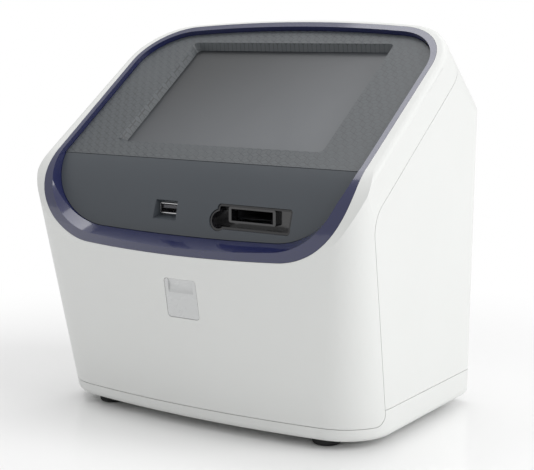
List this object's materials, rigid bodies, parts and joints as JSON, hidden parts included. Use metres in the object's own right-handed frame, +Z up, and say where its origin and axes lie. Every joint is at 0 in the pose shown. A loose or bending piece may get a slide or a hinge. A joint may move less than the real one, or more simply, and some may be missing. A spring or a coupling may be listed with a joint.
{
  "type": "automated cell counter",
  "caption": "Benchtop cell counter with a sloped touch screen, front slide port and USB port, fluorescence optics on a focus stage and a hinged rear door.",
  "frame": {"origin": "on the bench under the middle of the case", "axes": "+Z up, the screen and the slide port face -Y, +X to the right seen from the front"},
  "size_m": [0.2286, 0.1629, 0.2291],
  "materials": {
    "case_plastic": "satin moulded plastic",
    "base_plastic": "satin moulded plastic",
    "trim_gloss": "glossy navy plastic",
    "bezel_slate": "slate plastic with a fine line pattern",
    "fascia_slate": "slate plastic with a fine line pattern",
    "port_black": "glossy black plastic",
    "badge_grey": "glossy grey plastic",
    "touch_glass": "clear glass over a dark display",
    "display_grey": "display panel",
    "sheet_steel": "zinc plated sheet",
    "screw_steel": "plated steel",
    "rubber": "rubber",
    "frame_metal": "cast and milled aluminium",
    "black_metal": "black anodised",
    "optic_glass": "coated lens glass",
    "mirror": "front surface mirror",
    "circuit": "circuit board",
    "chip_black": "moulded chips",
    "usb_insulator": "insulator",
    "guide_plastic": "sliding plastic"
  },
  "bodies": {
    "housing": {"front_shell": "case_plastic", "rear_shell": "case_plastic", "base_pan": "base_plastic", "case_screws": "screw_steel", "rubber_feet": "rubber", "trim_ring": "trim_gloss", "badge_plate": "badge_grey", "screen_bezel": "bezel_slate", "touch_glass": "touch_glass", "display_module": "display_grey", "display_bracket": "sheet_steel", "display_screws": "screw_steel", "lower_fascia": "fascia_slate", "slide_port": "port_black", "usb_shell": "sheet_steel", "usb_tongue": "usb_insulator", "usb_board": "circuit", "usb_screws": "screw_steel", "optical_frame": "frame_metal", "frame_screws": "screw_steel", "carriage_guide": "guide_plastic", "carriage_spring": "screw_steel", "focus_bracket": "frame_metal", "guide_rods": "screw_steel", "focus_motor": "black_metal", "changer_rods": "screw_steel", "changer_motor": "black_metal", "mirror_mount": "black_metal", "fold_mirror": "mirror", "tube_barrel": "black_metal", "tube_lens": "optic_glass", "camera_board": "circuit", "lamp_housing": "black_metal", "condenser_lens": "optic_glass", "lamp_board": "circuit", "hinge_pin": "screw_steel", "switch_body": "port_black", "switch_blades": "screw_steel", "dc_inlet": "port_black", "inlet_nut": "screw_steel", "main_board": "circuit", "board_chips": "chip_black", "board_screws": "screw_steel"},
    "slide_carriage": {"slide_carriage": "guide_plastic"},
    "focus_stage": {"focus_stage": "frame_metal", "objective": "black_metal", "objective_lenses": "optic_glass"},
    "focus_screw": {"focus_screw": "screw_steel"},
    "cube_changer": {"cube_slider": "frame_metal", "light_cube_a": "black_metal", "light_cube_b": "black_metal", "cube_plates": "optic_glass", "cube_lamps": "circuit"},
    "changer_screw": {"changer_screw": "screw_steel"},
    "rear_door": {"rear_door": "case_plastic"},
    "power_rocker": {"power_rocker": "chip_black"}
  },
  "joints": [
    {"name": "carriage_slide", "type": "slide", "parent": "housing", "child": "slide_carriage", "axis": [0, 1, 0], "range_m": [0, 0.01], "stiffness_N_per_m": 60, "springref_m": -0.004, "deforming": ["carriage_spring"]},
    {"name": "focus_slide", "type": "slide", "parent": "housing", "child": "focus_stage", "axis": [0, 0, 1], "range_m": [-0.0015, 0.0015]},
    {"name": "focus_screw_turn", "type": "hinge", "parent": "housing", "child": "focus_screw", "pos_m": [0.04, 0.012, 0.099], "axis": [0, 0, 1], "range_deg": [-540, 540]},
    {"name": "changer_slide", "type": "slide", "parent": "housing", "child": "cube_changer", "axis": [1, 0, 0], "range_m": [0, 0.036]},
    {"name": "changer_screw_turn", "type": "hinge", "parent": "housing", "child": "changer_screw", "pos_m": [0.04, 0.012, 0.045], "axis": [1, 0, 0], "range_deg": [0, 2160]},
    {"name": "rear_door_hinge", "type": "hinge", "parent": "housing", "child": "rear_door", "pos_m": [0.04, 0.0764, 0.0416], "axis": [-1, 0, 0], "range_deg": [0, 95]},
    {"name": "power_rocker_hinge", "type": "hinge", "parent": "housing", "child": "power_rocker", "pos_m": [-0.08, 0.079, 0.044], "axis": [1, 0, 0], "range_deg": [0, 16]}
  ],
  "couplings": [
    {"joint": "focus_screw_turn", "follows": "focus_slide", "rad_per_m": 6283.2},
    {"joint": "changer_screw_turn", "follows": "changer_slide", "rad_per_m": 1047.2}
  ]
}
